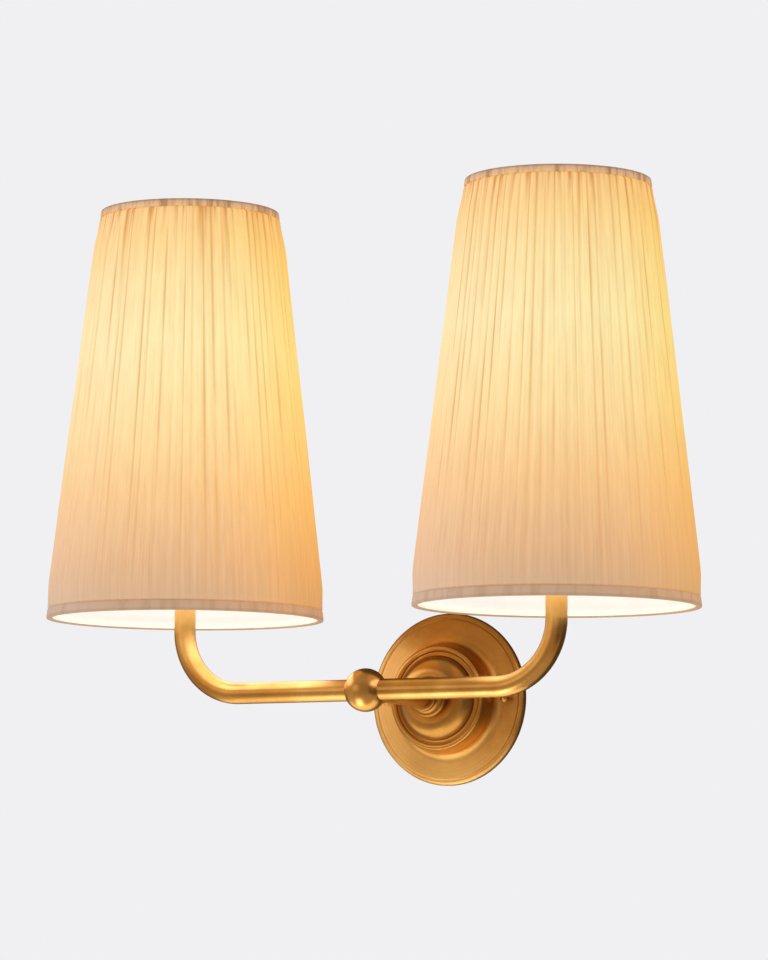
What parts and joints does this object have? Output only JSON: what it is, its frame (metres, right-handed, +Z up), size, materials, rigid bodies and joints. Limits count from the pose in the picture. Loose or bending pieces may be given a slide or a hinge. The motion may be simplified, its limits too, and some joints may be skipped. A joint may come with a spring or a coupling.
{
  "type": "double arm wall sconce",
  "caption": "Wall light with a round stepped brass backplate, a ball stem, and bent brass arms that hold tall tapered gathered cloth shades over candle bulbs.",
  "frame": {"origin": "centre of the mounting plate, on the wall", "axes": "+Z up, +Y into the wall, the light stands out towards -Y, +X the viewer's right along the arms"},
  "size_m": [0.4569, 0.2037, 0.3771],
  "materials": {
    "antique_brass": "satin, aged, hand polished",
    "zinc_steel": "zinc plated",
    "nickel_cap": "plated, bright",
    "screw_brass": "bright",
    "ivory_plastic": "satin",
    "black_holder": "moulded, matte",
    "block_plastic": "moulded, matte",
    "brown_insulation": "smooth",
    "blue_insulation": "smooth",
    "green_yellow_insulation": "smooth",
    "opal_glass": "opal, lit",
    "filament_glass": "clear, lit",
    "white_wire": "white coated",
    "white_liner": "smooth, translucent",
    "cream_cloth": "gathered, fine woven",
    "trim_cloth": "folded bias band"
  },
  "bodies": {
    "wall_unit": {"mounting_plate": "zinc_steel", "plate_studs": "zinc_steel", "cap_nuts": "antique_brass", "backplate": "antique_brass", "backplate_boss": "antique_brass", "stem_collar": "antique_brass", "stem": "antique_brass", "centre_ball": "antique_brass", "threaded_nipple": "screw_brass", "earth_tag": "screw_brass", "nipple_lock_nut": "screw_brass", "terminal_block": "block_plastic", "terminal_screws": "screw_brass", "terminal_block_screw": "zinc_steel", "earth_lead": "green_yellow_insulation", "left_arm": "antique_brass", "left_arm_nipple": "screw_brass", "left_holder_cup": "antique_brass", "left_candle_sleeve": "ivory_plastic", "left_lampholder": "black_holder", "left_screw_shell": "screw_brass", "left_contact_tongue": "screw_brass", "left_carrier_retainer": "antique_brass", "left_live_lead": "brown_insulation", "left_neutral_lead": "blue_insulation", "right_arm": "antique_brass", "right_arm_nipple": "screw_brass", "right_holder_cup": "antique_brass", "right_candle_sleeve": "ivory_plastic", "right_lampholder": "black_holder", "right_screw_shell": "screw_brass", "right_contact_tongue": "screw_brass", "right_carrier_retainer": "antique_brass", "right_live_lead": "brown_insulation", "right_neutral_lead": "blue_insulation"},
    "left_carrier": {"left_shade_carrier": "antique_brass"},
    "left_shade": {"left_shade_gimbal": "white_wire", "left_shade_top_ring": "white_wire", "left_shade_bottom_ring": "white_wire", "left_shade_liner": "white_liner", "left_shade_cover": "cream_cloth", "left_shade_top_trim": "trim_cloth", "left_shade_bottom_trim": "trim_cloth"},
    "left_bulb": {"left_bulb_cap": "nickel_cap", "left_bulb_glass": "opal_glass", "left_bulb_filament": "filament_glass"},
    "right_carrier": {"right_shade_carrier": "antique_brass"},
    "right_shade": {"right_shade_gimbal": "white_wire", "right_shade_top_ring": "white_wire", "right_shade_bottom_ring": "white_wire", "right_shade_liner": "white_liner", "right_shade_cover": "cream_cloth", "right_shade_top_trim": "trim_cloth", "right_shade_bottom_trim": "trim_cloth"},
    "right_bulb": {"right_bulb_cap": "nickel_cap", "right_bulb_glass": "opal_glass", "right_bulb_filament": "filament_glass"}
  },
  "joints": [
    {"name": "left_carrier_turn", "type": "hinge", "parent": "wall_unit", "child": "left_carrier", "pos_m": [-0.1372, -0.1125, 0.165], "axis": [0, 0, 1], "continuous": true},
    {"name": "left_shade_lift", "type": "slide", "parent": "left_carrier", "child": "left_shade", "axis": [0, 0, 1], "range_m": [0, 0.27]},
    {"name": "left_bulb_out", "type": "slide", "parent": "wall_unit", "child": "left_bulb", "axis": [0, 0, 1], "range_m": [0, 0.22]},
    {"name": "right_carrier_turn", "type": "hinge", "parent": "wall_unit", "child": "right_carrier", "pos_m": [0.1372, -0.1125, 0.165], "axis": [0, 0, 1], "continuous": true},
    {"name": "right_shade_lift", "type": "slide", "parent": "right_carrier", "child": "right_shade", "axis": [0, 0, 1], "range_m": [0, 0.27]},
    {"name": "right_bulb_out", "type": "slide", "parent": "wall_unit", "child": "right_bulb", "axis": [0, 0, 1], "range_m": [0, 0.22]}
  ]
}
